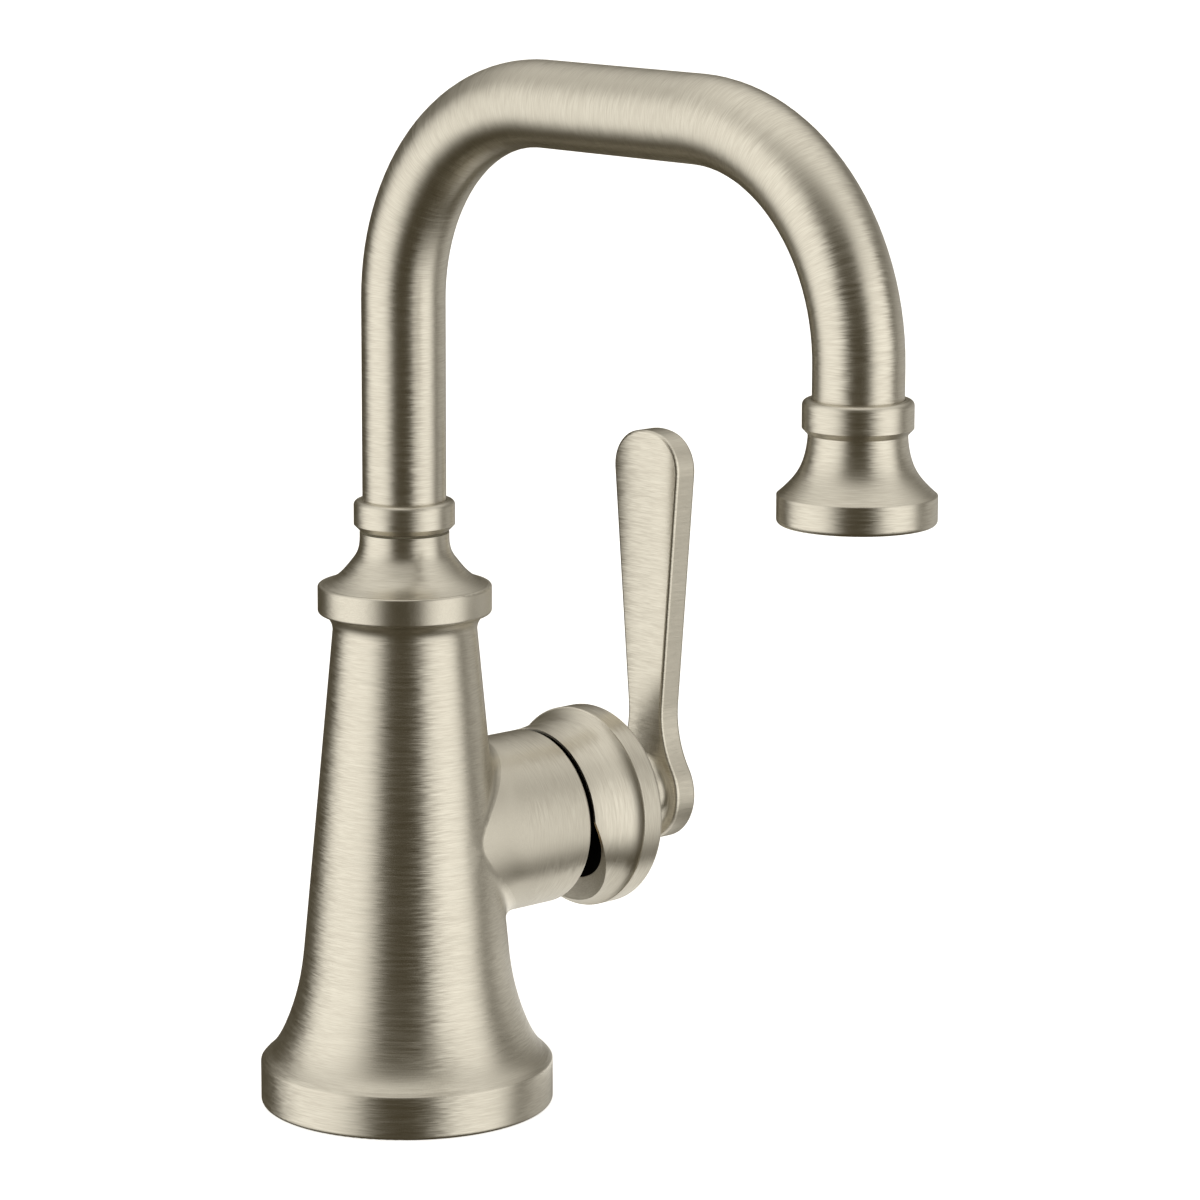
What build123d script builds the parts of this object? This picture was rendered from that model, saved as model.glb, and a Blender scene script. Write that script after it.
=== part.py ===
from build123d import *
import math
import os

# High-arc bathroom faucet: a turned bell body with a side valve, a lever, and a bent tube spout.
# Sizes are in millimetres. +Z is up and the origin is the centre of the foot on the deck.
# The spout points to -Y, and the valve stub and its lever point to +X.

# Body, turned about the vertical axis
FOOT_RADIUS = 33.8
FOOT_BAND = 9.9
FOOT_EDGE = 1.0
SHOULDER_EDGE = 0.7
FLARE_START_RADIUS = 32.9
FLARE_START_HEIGHT = 10.9
FLARE_START_SLOPE = 1.3
FLARE_LOW = (28.5, 17.0)
FLARE_HIGH = (25.35, 26.0)
CONE_BASE_RADIUS = 23.55
CONE_BASE_HEIGHT = 37.0
CONE_TOP_RADIUS = 16.5
FLANGE_RADIUS = 19.85
FLANGE_TOP = 121.6
FLANGE_HEIGHT = 6.2
FLANGE_COVE = 4.2
FLANGE_EDGE = 0.6
FLANGE_UNDER_STEP = 0.85
FLANGE_UNDER_EDGE = 0.75
BODY_WALL = 2.9
CAVITY_DROP = 8.9

# Neck piece above the flange, with the middle of its cove as radius and rise
NECK_FOOT_RADIUS = 19.0
NECK_FOOT_SLOPE = 0.42
NECK_COVE_LOW = (16.05, 1.4)
NECK_COVE_HIGH = (12.15, 5.4)
NECK_RADIUS = 10.2
NECK_HEIGHT = 12.0
NECK_STRAIGHT = 1.0
GLIDE_HEIGHT = 0.6
GLIDE_STEP = 0.1
COLLAR_THREAD_RADIUS = 12.0
COLLAR_THREAD_LENGTH = 9.6

# Spout tube and its lower ring
TUBE_DIAMETER = 19.05
TUBE_WALL = 1.2
SPOUT_RISE = 186.6
BEND_RADIUS = 47.1
SPOUT_REACH = 141.76
RING_RADIUS = 11.52
RING_HEIGHT = 6.85
RING_EDGE = 1.2
RING_LIP = 0.07

# Swivel nipple inside the neck
NIPPLE_RADIUS = 7.4
NIPPLE_BORE = 4.6
NIPPLE_SHOULDER = 1.2
NIPPLE_REACH = 23.0
NIPPLE_SEAT = 15.8
NIPPLE_CHAMFER = 0.6
O_RING_SECTION = 0.8
O_RING_GROOVE = 2.2
O_RING_FIRST = 2.6
O_RING_STEP = 4.6
CLIP_THICKNESS = 1.2
CLIP_WIDTH = 2.6
CLIP_GROOVE = 1.0
CLIP_MOUTH = 11.1

# Outlet bell at the end of the spout, with its heights above its own rim
OUTLET_DROP = 32.5
OUTLET_RADIUS = 16.58
OUTLET_BAND = 6.1
OUTLET_EDGE = 1.0
OUTLET_SHOULDER = 0.6
OUTLET_COVE_START = 0.5
OUTLET_COVE_SLOPE = 1.1
OUTLET_COVE_MIDDLE = (12.05, 11.2)
OUTLET_NECK_RADIUS = 10.3
OUTLET_NECK_RISE = 17.9
OUTLET_NECK_SLOPE = 0.08
OUTLET_NECK_LENGTH = 0.7
OUTLET_RING_RISE = 19.9
OUTLET_HEIGHT = 25.8
OUTLET_BORE = 7.6
OUTLET_FUNNEL = 4.0
TUBE_SEAT_RISE = 20.5
AERATOR_RADIUS = 11.1
AERATOR_SOCKET = 8.9
AERATOR_RECESS = 0.9
AERATOR_WALL = 1.5
AERATOR_LIP = 1.0
AERATOR_NOTCHES = 4
AERATOR_NOTCH_WIDTH = 1.2
AERATOR_NOTCH_DEPTH = 0.8
WASHER_THICKNESS = 1.2
WASHER_WIDTH = 2.8
SCREEN_THICKNESS = 1.4
SCREEN_HOLE = 0.88
SCREEN_PITCH = 2.2
SCREEN_RINGS = 3
CORE_RIM = 1.2
CORE_ROOF = 1.6
CORE_HOLE = 0.55
CORE_PITCH = 3.3
CORE_RINGS = 2

# Valve stub and cartridge, turned about the valve axis
VALVE_HEIGHT = 61.0
STUB_RADIUS = 20.55
STUB_END = 39.2
STUB_EDGE = 0.5
STUB_FILLET = 4.2
CARTRIDGE_RADIUS = 16.2
CARTRIDGE_SEAT = 8.0
CARTRIDGE_BASE_THICKNESS = 4.5
FIXED_DISC_THICKNESS = 3.2
MOVING_DISC_THICKNESS = 2.7
MOVING_DISC_RADIUS = 10.4
DISC_OFFSET = 1.3
CARRIER_THICKNESS = 3.6
CARTRIDGE_BORE = 12.9
HOUSING_FRONT = 31.9
HOUSING_LIP = 1.9
GUIDE_NECK_RADIUS = 10.3
GUIDE_NECK_LENGTH = 1.5
GUIDE_GAP = 0.2
SLOT_HALF = 6.9
NUT_RADIUS = 17.95
NUT_BORE = 12.0
NUT_THICKNESS = 6.1
NUT_CHAMFER = 0.5
NUT_NOTCHES = 4
NUT_NOTCH = (4.0, 3.0, 2.0)
DISC_POCKET = (9.0, 6.4, 1.6)
DISC_POCKET_RISE = 3.3
CARRIER_STEP = 0.5
PORT_RADIUS = 2.8
DISC_PORT_RADIUS = 2.4
PORT_SPREAD = 7.0
PORT_DROP = 5.0
OUTLET_PORT_RISE = 6.5
SEAL_WIDTH = 1.2
SEAL_THICKNESS = 1.5
PEG_RADIUS = 1.2
PEG_LENGTH = 2.0
PEG_INSET = 2.6
PEG_ANGLE = 53.0
PIVOT_X = 28.0
PIN_RADIUS = 1.5
PIN_END_GAP = 0.9
STEM_SIDE = 8.0
STEM_CHAMFER = 0.5
STEM_TIP_REACH = 7.1
STEM_TIP_RADIUS = 1.6
STEM_TIP_WIDTH = 4.8
STEM_NECK_THICKNESS = 1.9
STEM_NECK_LENGTH = 3.5
STEM_LENGTH = 39.5

# Handle cap, turned about the valve axis: it flares from its rim to the band at its back
CAP_RIM_X = 40.5
CAP_RIM_RADIUS = 20.6
CAP_RIM_SLOPE = 0.03
CAP_FLARE_X = 48.5
CAP_FLARE_RADIUS = 21.6
CAP_FLARE_END = 23.55
CAP_FLARE_SLOPE = 1.1
CAP_BAND_X = 53.2
CAP_BAND_RADIUS = 23.8
CAP_BAND_EDGE = 0.22
CAP_BACK_X = 59.0
CAP_BACK_DOME = 2.4
CAP_EDGE = 0.8
CAP_RIM_WALL = 0.65
CAP_CAVITY_DEPTH = 8.5
CAP_CAVITY_CORNER = 6.5
CUT_ANGLE = 24.0
CUT_START = 1.6
CUT_OVERRUN = 1.0

# Lever plate and hub
PLATE_FACE_X = 75.54
PLATE_THICKNESS = 6.17
PLATE_EDGE = 0.8
LEVER_FOOT_RADIUS = 11.6
LEVER_TOP = 148.85
BLADE_HALF_WIDTH = 11.3
BLADE_TAPER = 5.1
BLADE_CROWN = 16.0
BLADE_CORNER = 9.0
LEVER_SWEEP = 24.0
HUB_RADIUS = 8.0
HUB_FLARE = 3.6
HUB_FILLET = 2.3
SPIGOT_RADIUS = 7.0
SPIGOT_START = 50.0
STEM_SOCKET_END_GAP = 0.3
SET_SCREW_RADIUS = 2.0
SET_SCREW_X = 64.4
SET_SCREW_SUNK = 0.3
SET_SCREW_KEY = 1.0
SET_SCREW_KEY_DEPTH = 1.6

# Waterway and deck fittings
SEAT_BLOCK_RADIUS = 14.6
SEAT_BLOCK_BACK = -9.0
RISER_RADIUS = 8.0
RISER_BORE = 4.5
SOCKET_RADIUS = 11.2
SOCKET_FLOOR = 2.0
SOCKET_DEPTH = 11.4
SOCKET_END_GAP = 0.3
LEG_RADIUS = 7.2
LEG_SPREAD = 9.0
LEG_BORE = 3.5
BORE_OVERRUN = 0.6
LEG_BOTTOM = 2.5
LEG_COLLAR_RADIUS = 8.2
LEG_COLLAR_HEIGHT = 2.0
INLET_THREAD_RADIUS = 4.5
INLET_WALL = 1.1
INLET_LENGTH = 11.0
STUB_BORE_START = 5.0
GASKET_THICKNESS = 1.5
GASKET_BORE = 18.5
BASE_RADIUS = 30.5
BASE_THICKNESS = 5.0
STUD_SPACING = 25.0
STUD_THREAD_RADIUS = 3.4
STUD_BOSS_RADIUS = 5.5
STUD_BOSS_HEIGHT = 5.0
BASE_SCREW_COUNT = 3
BASE_SCREW_CIRCLE = 25.6
BASE_SCREW_RADIUS = 1.95
BASE_SCREW_HEAD = 3.7
BASE_SCREW_LENGTH = 10.5
BASE_SCREW_DRIVE = (1.3, 1.2)
BOSS_RADIUS = 3.6
BOSS_HEIGHT = 7.0
BOSS_ROOF = 1.0

# Clearances, and how near an edge lies to a size for a fillet to find it
FIT = 0.05
THREAD_FIT = 0.05
SLIDE = 0.15
CARTRIDGE_FIT = 0.1
CLIP_GAP = 0.1
MATCH = 0.01

# Sizes that follow from the ones above
FLANGE_LOW = FLANGE_TOP - FLANGE_HEIGHT
CAVITY_TOP = FLANGE_LOW - CAVITY_DROP
NECK_TOP = FLANGE_TOP + NECK_HEIGHT
TUBE_RADIUS = TUBE_DIAMETER / 2
TUBE_BORE = TUBE_RADIUS - TUBE_WALL
RING_BOTTOM = NECK_TOP + GLIDE_HEIGHT
RING_TOP = RING_BOTTOM + RING_HEIGHT
NIPPLE_BOTTOM = FLANGE_TOP - NIPPLE_REACH
NIPPLE_TOP = RING_BOTTOM + NIPPLE_SEAT
TUBE_BOTTOM = RING_BOTTOM + NIPPLE_SHOULDER
TUBE_TOP = SPOUT_RISE + BEND_RADIUS
OUTLET_BOTTOM = SPOUT_RISE - OUTLET_DROP
OUTLET_TOP = OUTLET_BOTTOM + OUTLET_HEIGHT
TUBE_END = OUTLET_BOTTOM + TUBE_SEAT_RISE
SOCKET_TOP = NIPPLE_BOTTOM + SOCKET_DEPTH
COLLAR_BOTTOM = FLANGE_TOP - COLLAR_THREAD_LENGTH
CONE_TOP_HEIGHT = FLANGE_LOW - FLANGE_COVE
CONE_SLOPE = (CONE_BASE_RADIUS - CONE_TOP_RADIUS) / (CONE_TOP_HEIGHT - CONE_BASE_HEIGHT)
DISC_FACE = CARTRIDGE_SEAT + CARTRIDGE_BASE_THICKNESS
MOVING_FACE = DISC_FACE + FIXED_DISC_THICKNESS
CARRIER_FACE = MOVING_FACE + MOVING_DISC_THICKNESS
CARRIER_END = CARRIER_FACE + CARRIER_THICKNESS
GUIDE_FACE = CARRIER_END + GUIDE_GAP
LIP_FACE = HOUSING_FRONT - HOUSING_LIP
GUIDE_NECK_END = HOUSING_FRONT + GUIDE_NECK_LENGTH
NUT_END = HOUSING_FRONT + NUT_THICKNESS
STEM_TIP_X = PIVOT_X - STEM_TIP_REACH
STEM_END = PIVOT_X + STEM_LENGTH
HUB_START = CAP_BACK_X + CAP_BACK_DOME
BASE_TOP = GASKET_THICKNESS + BASE_THICKNESS
BOSS_TOP = BASE_TOP + BOSS_HEIGHT
INLET_TOP = LEG_BOTTOM + INLET_LENGTH
AERATOR_TOP = OUTLET_BOTTOM + AERATOR_SOCKET
AERATOR_LOW = OUTLET_BOTTOM + AERATOR_RECESS
AERATOR_HIGH = AERATOR_TOP - WASHER_THICKNESS
SCREEN_LOW = AERATOR_LOW + AERATOR_LIP

# The valve frame: its third axis runs out along the stub, its second axis is up
VALVE = Plane(origin=(0, 0, VALVE_HEIGHT), x_dir=(0, 1, 0), z_dir=(1, 0, 0))
# The outlet frame: its third axis is the outlet's centre line
OUTLET = Pos(0, -SPOUT_REACH, 0)


def at(radius, height):
    """Point of a turned outline."""
    return Vector(radius, 0, height)


def turned(*curves):
    """Solid turned about the local third axis from the curves of its half outline."""
    edges = [edge for curve in curves for edge in curve.edges()]
    return revolve(make_face(edges), Axis.Z)


def disc(radius, low, high, x=0.0, y=0.0):
    """Round bar between two heights."""
    flat = Cylinder(radius, high - low, align=(Align.CENTER, Align.CENTER, Align.MIN))
    return Pos(x, y, low) * flat


def ring(outer, inner, low, high):
    """Round ring between two heights."""
    return disc(outer, low, high) - disc(inner, low, high)


def block(width, depth, low, high, x=0.0, y=0.0):
    """Square bar between two heights."""
    bar = Box(width, depth, high - low, align=(Align.CENTER, Align.CENTER, Align.MIN))
    return Pos(x, y, low) * bar


def soften(solid, radius, height, amount):
    """Round the circular edge that a piece turned about its third axis has at this place."""
    edges = [
        edge
        for edge in solid.edges().filter_by(GeomType.CIRCLE)
        if abs(edge.radius - radius) < MATCH and abs(edge.arc_center.Z - height) < MATCH
    ]
    return fillet(edges, amount)


def cone_radius(height):
    """Outer radius of the body's straight cone at a height."""
    return CONE_BASE_RADIUS - CONE_SLOPE * (height - CONE_BASE_HEIGHT)


def bell_profile(inset):
    """Flare and cone of the body, as one curve and one line, moved in by a wall."""
    start = at(FLARE_START_RADIUS - inset, FLARE_START_HEIGHT)
    low = at(FLARE_LOW[0] - inset, FLARE_LOW[1])
    high = at(FLARE_HIGH[0] - inset, FLARE_HIGH[1])
    top = at(CONE_BASE_RADIUS - inset, CONE_BASE_HEIGHT)
    tangents = [(-FLARE_START_SLOPE, 0, 1), (-CONE_SLOPE, 0, 1)]
    flare = Spline(start, low, high, top, tangents=tangents)
    return start, flare, top


def body_form():
    """Outside of the bell body with its foot, cone and flange."""
    start, flare, top = bell_profile(0.0)
    cone_end = at(CONE_TOP_RADIUS, CONE_TOP_HEIGHT)
    cove_radius = CONE_TOP_RADIUS + FLANGE_COVE
    cove_middle = at(
        cove_radius - FLANGE_COVE * math.cos(math.radians(45)),
        CONE_TOP_HEIGHT + FLANGE_COVE * math.sin(math.radians(45)),
    )
    cove_end = at(cove_radius, FLANGE_LOW)
    reach = FLANGE_RADIUS - FLANGE_UNDER_STEP
    if cove_radius > reach:
        rise = math.sqrt(FLANGE_COVE**2 - (cove_radius - reach) ** 2)
        cove_end = at(reach, CONE_TOP_HEIGHT + rise)
    foot = Polyline(
        at(0, 0),
        at(FOOT_RADIUS, 0),
        at(FOOT_RADIUS, FOOT_BAND),
        start,
    )
    cone = Line(top, cone_end)
    cove = ThreePointArc(cone_end, cove_middle, cove_end)
    flange = Polyline(
        cove_end,
        at(FLANGE_RADIUS, cove_end.Z),
        at(FLANGE_RADIUS, FLANGE_TOP),
        at(0, FLANGE_TOP),
        at(0, 0),
    )
    form = turned(foot, flare, cone, cove, flange)
    form = soften(form, FOOT_RADIUS, 0, FOOT_EDGE)
    form = soften(form, FOOT_RADIUS, FOOT_BAND, SHOULDER_EDGE)
    form = soften(form, FLANGE_RADIUS, cove_end.Z, FLANGE_UNDER_EDGE)
    return soften(form, FLANGE_RADIUS, FLANGE_TOP, FLANGE_EDGE)


def stub_form():
    """Outside of the valve stub, with the rounded edge at its open end."""
    stub = disc(STUB_RADIUS, 0, STUB_END)
    return VALVE * soften(stub, STUB_RADIUS, STUB_END, STUB_EDGE)


def join_edges(form):
    """Edges where the stub runs into the bell."""
    found = []
    for edge in form.edges():
        middle = edge.position_at(0.5)
        round_valve = math.hypot(middle.Y, middle.Z - VALVE_HEIGHT)
        on_stub = abs(round_valve - STUB_RADIUS) < 5 * MATCH
        if on_stub and 5 * MATCH < middle.X < STUB_END - 2 * STUB_EDGE:
            found.append(edge)
    return found


def base_screw_spots():
    """Places of the base screws around the foot."""
    step = 360 / BASE_SCREW_COUNT
    turns = [math.radians(90 + step * i) for i in range(BASE_SCREW_COUNT)]
    return [(BASE_SCREW_CIRCLE * math.cos(t), BASE_SCREW_CIRCLE * math.sin(t)) for t in turns]


def body_shell():
    """Hollow cast body: bell, flange and valve stub, open at the foot."""
    form = body_form() + stub_form()
    form = fillet(join_edges(form), STUB_FILLET)
    start, flare, top = bell_profile(BODY_WALL)
    inner_top = at(cone_radius(CAVITY_TOP) - BODY_WALL, CAVITY_TOP)
    recess = BASE_RADIUS + 2 * FIT
    opening = Polyline(
        at(0, 0),
        at(recess, 0),
        at(recess, BASE_TOP),
        at(start.X, BASE_TOP),
        start,
    )
    roof = Polyline(inner_top, at(0, CAVITY_TOP), at(0, 0))
    cavity = turned(opening, flare, Line(top, inner_top), roof)
    bosses = [disc(BOSS_RADIUS, BASE_TOP, BOSS_TOP, x, y) for x, y in base_screw_spots()]
    for boss in bosses:
        cavity -= boss
    shell = form - cavity
    shell -= disc(COLLAR_THREAD_RADIUS, CAVITY_TOP, FLANGE_TOP)
    shell -= VALVE * disc(CARTRIDGE_RADIUS + CARTRIDGE_FIT, STUB_BORE_START, STUB_END)
    shell -= VALVE * disc(NUT_RADIUS + THREAD_FIT, HOUSING_FRONT, STUB_END)
    for x, y in base_screw_spots():
        shell -= disc(BASE_SCREW_RADIUS + THREAD_FIT, BASE_TOP, BOSS_TOP - BOSS_ROOF, x, y)
    return shell


def neck_collar():
    """Screwed-in neck piece: the swivel's bearing, with a cove from flange to ring."""
    foot = at(NECK_FOOT_RADIUS, FLANGE_TOP)
    low = at(NECK_COVE_LOW[0], FLANGE_TOP + NECK_COVE_LOW[1])
    high = at(NECK_COVE_HIGH[0], FLANGE_TOP + NECK_COVE_HIGH[1])
    cove_end = at(NECK_RADIUS, NECK_TOP - NECK_STRAIGHT)
    cove = Spline(foot, low, high, cove_end, tangents=[(-1, 0, NECK_FOOT_SLOPE), (0, 0, 1)])
    spigot = COLLAR_THREAD_RADIUS - THREAD_FIT
    below = Polyline(at(0, COLLAR_BOTTOM), at(spigot, COLLAR_BOTTOM), at(spigot, FLANGE_TOP), foot)
    above = Polyline(cove_end, at(NECK_RADIUS, NECK_TOP), at(0, NECK_TOP), at(0, COLLAR_BOTTOM))
    form = turned(below, cove, above)
    return form - disc(NIPPLE_RADIUS + FIT, COLLAR_BOTTOM, NECK_TOP)


def glide_ring():
    """Plastic ring on which the spout turns, in the groove under the spout's ring."""
    return ring(NECK_RADIUS - GLIDE_STEP, NIPPLE_RADIUS + FIT, NECK_TOP, RING_BOTTOM)


def spout_ring():
    """Ring brazed on the foot of the spout tube."""
    form = disc(RING_RADIUS, RING_BOTTOM, RING_TOP)
    form = soften(form, RING_RADIUS, RING_TOP, RING_EDGE)
    form = chamfer(form.edges().group_by(Axis.Z)[0], RING_RADIUS - NECK_RADIUS - RING_LIP)
    return form - disc(TUBE_RADIUS + FIT, RING_BOTTOM, RING_TOP)


def tube_path():
    """Centre line of the spout: up, over in two bends, and down."""
    corners = [
        (0, 0, TUBE_BOTTOM),
        (0, 0, TUBE_TOP),
        (0, -SPOUT_REACH, TUBE_TOP),
        (0, -SPOUT_REACH, TUBE_END),
    ]
    return FilletPolyline(*corners, radius=BEND_RADIUS)


def spout_tube():
    """Bent thin-walled tube."""
    path = tube_path()
    start = Plane(origin=(0, 0, TUBE_BOTTOM), z_dir=(0, 0, 1))
    outside = sweep(start * Circle(TUBE_RADIUS), path)
    inside = sweep(start * Circle(TUBE_BORE), path)
    return outside - inside


def nipple_groove(height):
    """O-ring groove round the nipple."""
    bottom = NIPPLE_RADIUS - 2 * O_RING_SECTION
    half = O_RING_GROOVE / 2
    return ring(NIPPLE_RADIUS + O_RING_SECTION, bottom, height - half, height + half)


def o_ring_heights():
    """Heights of the two O-rings in the swivel socket."""
    first = NIPPLE_BOTTOM + O_RING_FIRST
    return [first, first + O_RING_STEP]


def clip_bottom():
    """Underside of the retaining clip, just below the collar."""
    return COLLAR_BOTTOM - CLIP_THICKNESS - CLIP_GAP


def spout_nipple():
    """Brass nipple brazed in the tube: it turns in the neck and seals in the waterway."""
    form = disc(NIPPLE_RADIUS, NIPPLE_BOTTOM, RING_BOTTOM)
    form += disc(TUBE_RADIUS, RING_BOTTOM, TUBE_BOTTOM)
    form += disc(TUBE_BORE - FIT, TUBE_BOTTOM, NIPPLE_TOP)
    form = chamfer(form.edges().group_by(Axis.Z)[0], NIPPLE_CHAMFER)
    form -= disc(NIPPLE_BORE, NIPPLE_BOTTOM, NIPPLE_TOP)
    for height in o_ring_heights():
        form -= nipple_groove(height)
    low = clip_bottom() - CLIP_GAP
    return form - ring(NIPPLE_RADIUS + CLIP_GROOVE, NIPPLE_RADIUS - CLIP_GROOVE, low, COLLAR_BOTTOM)


def spout_o_rings():
    """Two O-rings that seal the turning nipple."""
    middle = NIPPLE_RADIUS - O_RING_SECTION + FIT / 2
    return [Pos(0, 0, height) * Torus(middle, O_RING_SECTION) for height in o_ring_heights()]


def spout_clip():
    """Open clip that keeps the spout from lifting out."""
    low = clip_bottom()
    inner = NIPPLE_RADIUS - CLIP_GROOVE + FIT
    outer = inner + CLIP_WIDTH
    form = ring(outer, inner, low, low + CLIP_THICKNESS)
    return form - block(outer, CLIP_MOUTH, low, low + CLIP_THICKNESS, x=-outer / 2 - inner / 2)


def outlet_bell():
    """Flared outlet on the end of the tube, in one piece with its ring."""
    band_top = OUTLET_BOTTOM + OUTLET_BAND
    start = at(OUTLET_RADIUS - OUTLET_SHOULDER, band_top + OUTLET_COVE_START)
    middle = at(OUTLET_COVE_MIDDLE[0], OUTLET_BOTTOM + OUTLET_COVE_MIDDLE[1])
    end = at(OUTLET_NECK_RADIUS, OUTLET_BOTTOM + OUTLET_NECK_RISE)
    tangents = [(-OUTLET_COVE_SLOPE, 0, 1), (-OUTLET_NECK_SLOPE, 0, 1)]
    cove = Spline(start, middle, end, tangents=tangents)
    below = Polyline(
        at(0, OUTLET_BOTTOM),
        at(OUTLET_RADIUS, OUTLET_BOTTOM),
        at(OUTLET_RADIUS, band_top),
        start,
    )
    above = Polyline(
        end,
        at(OUTLET_NECK_RADIUS, end.Z + OUTLET_NECK_LENGTH),
        at(RING_RADIUS, OUTLET_BOTTOM + OUTLET_RING_RISE),
        at(RING_RADIUS, OUTLET_TOP),
        at(0, OUTLET_TOP),
        at(0, OUTLET_BOTTOM),
    )
    form = turned(below, cove, above)
    form = soften(form, OUTLET_RADIUS, OUTLET_BOTTOM, OUTLET_EDGE)
    form = soften(form, OUTLET_RADIUS, band_top, OUTLET_SHOULDER / 2)
    form = soften(form, RING_RADIUS, OUTLET_TOP, RING_EDGE)
    funnel_top = AERATOR_TOP + OUTLET_FUNNEL
    funnel = Polyline(
        at(0, AERATOR_TOP),
        at(AERATOR_RADIUS - AERATOR_WALL, AERATOR_TOP),
        at(OUTLET_BORE, funnel_top),
        at(0, funnel_top),
        at(0, AERATOR_TOP),
    )
    form -= disc(AERATOR_RADIUS + THREAD_FIT, OUTLET_BOTTOM, AERATOR_TOP)
    form -= turned(funnel)
    form -= disc(OUTLET_BORE, funnel_top, TUBE_END)
    form -= disc(TUBE_RADIUS + FIT, TUBE_END, OUTLET_TOP)
    return OUTLET * form


def aerator_housing():
    """Threaded plastic ring that holds the aerator in the outlet."""
    low = AERATOR_LOW
    form = ring(AERATOR_RADIUS, AERATOR_RADIUS - AERATOR_WALL, low, AERATOR_HIGH)
    form += ring(AERATOR_RADIUS, AERATOR_RADIUS - 2 * AERATOR_WALL, low, SCREEN_LOW)
    reach = AERATOR_RADIUS - AERATOR_WALL / 2
    notch = block(AERATOR_WALL, AERATOR_NOTCH_WIDTH, low, low + AERATOR_NOTCH_DEPTH, x=reach)
    for turn in range(AERATOR_NOTCHES):
        form -= Rot(0, 0, 360 * (turn + 0.5) / AERATOR_NOTCHES) * notch
    return OUTLET * form


def hole_field(rings, pitch):
    """Places of a field of holes set in rings round a centre hole."""
    spots = [(0.0, 0.0)]
    for number in range(1, rings + 1):
        count = 6 * number
        for i in range(count):
            turn = 2 * math.pi * i / count
            spots.append((pitch * number * math.cos(turn), pitch * number * math.sin(turn)))
    return spots


def aerator_screen():
    """Plastic outlet grid that parts the stream into jets."""
    high = SCREEN_LOW + SCREEN_THICKNESS
    form = disc(AERATOR_RADIUS - AERATOR_WALL - FIT, SCREEN_LOW, high)
    for x, y in hole_field(SCREEN_RINGS, SCREEN_PITCH):
        form -= disc(SCREEN_HOLE, SCREEN_LOW, high, x, y)
    return OUTLET * form


def aerator_core():
    """Plastic flow core above the grid, with a cup rim and metering holes."""
    roof = AERATOR_HIGH - CORE_ROOF
    outer = AERATOR_RADIUS - AERATOR_WALL - FIT
    form = ring(outer, outer - CORE_RIM, SCREEN_LOW + SCREEN_THICKNESS, AERATOR_HIGH)
    form += disc(outer, roof, AERATOR_HIGH)
    for x, y in hole_field(CORE_RINGS, CORE_PITCH):
        form -= disc(CORE_HOLE, roof, AERATOR_HIGH, x, y)
    return OUTLET * form


def aerator_washer():
    """Rubber washer between the aerator and the outlet's shoulder."""
    outer = AERATOR_RADIUS - FIT
    return OUTLET * ring(outer, outer - WASHER_WIDTH, AERATOR_HIGH, AERATOR_TOP)


def port_spots():
    """Hot, cold and mixed ports on the cartridge seat, in the valve frame."""
    return [(-PORT_SPREAD, -PORT_DROP), (PORT_SPREAD, -PORT_DROP), (0.0, OUTLET_PORT_RISE)]


def peg_spots():
    """Locating pegs of the cartridge."""
    reach = SEAT_BLOCK_RADIUS - PEG_INSET
    x = reach * math.cos(math.radians(PEG_ANGLE))
    y = reach * math.sin(math.radians(PEG_ANGLE))
    return [(-x, y), (x, y)]


def waterway():
    """Inner water block: two inlet legs, the cartridge seat, and a riser to the spout."""
    form = VALVE * disc(SEAT_BLOCK_RADIUS, SEAT_BLOCK_BACK, CARTRIDGE_SEAT)
    form += disc(RISER_RADIUS, VALVE_HEIGHT, NIPPLE_BOTTOM)
    form += disc(SOCKET_RADIUS, NIPPLE_BOTTOM - SOCKET_FLOOR, SOCKET_TOP)
    for side in (-1, 1):
        y = side * LEG_SPREAD
        form += disc(LEG_RADIUS, LEG_BOTTOM, VALVE_HEIGHT - PORT_DROP, 0, y)
        form += disc(LEG_COLLAR_RADIUS, BASE_TOP, BASE_TOP + LEG_COLLAR_HEIGHT, 0, y)
    port_height = VALVE_HEIGHT - PORT_DROP
    for side in (-1, 1):
        y = side * LEG_SPREAD
        form -= disc(LEG_BORE, LEG_BOTTOM, port_height + PORT_RADIUS + BORE_OVERRUN, 0, y)
        form -= disc(INLET_THREAD_RADIUS + INLET_WALL + THREAD_FIT, LEG_BOTTOM, INLET_TOP, 0, y)
    riser_low = VALVE_HEIGHT + OUTLET_PORT_RISE - PORT_RADIUS - BORE_OVERRUN
    form -= disc(RISER_BORE, riser_low, NIPPLE_BOTTOM)
    form -= disc(NIPPLE_RADIUS + FIT, NIPPLE_BOTTOM - SOCKET_END_GAP, SOCKET_TOP)
    for x, y in port_spots():
        form -= VALVE * disc(PORT_RADIUS, 0, CARTRIDGE_SEAT, x, y)
    for x, y in peg_spots():
        hole = disc(PEG_RADIUS + CARTRIDGE_FIT, CARTRIDGE_SEAT - PEG_LENGTH - SLIDE, CARTRIDGE_SEAT)
        form -= VALVE * Pos(x, y, 0) * hole
    return form


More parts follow.
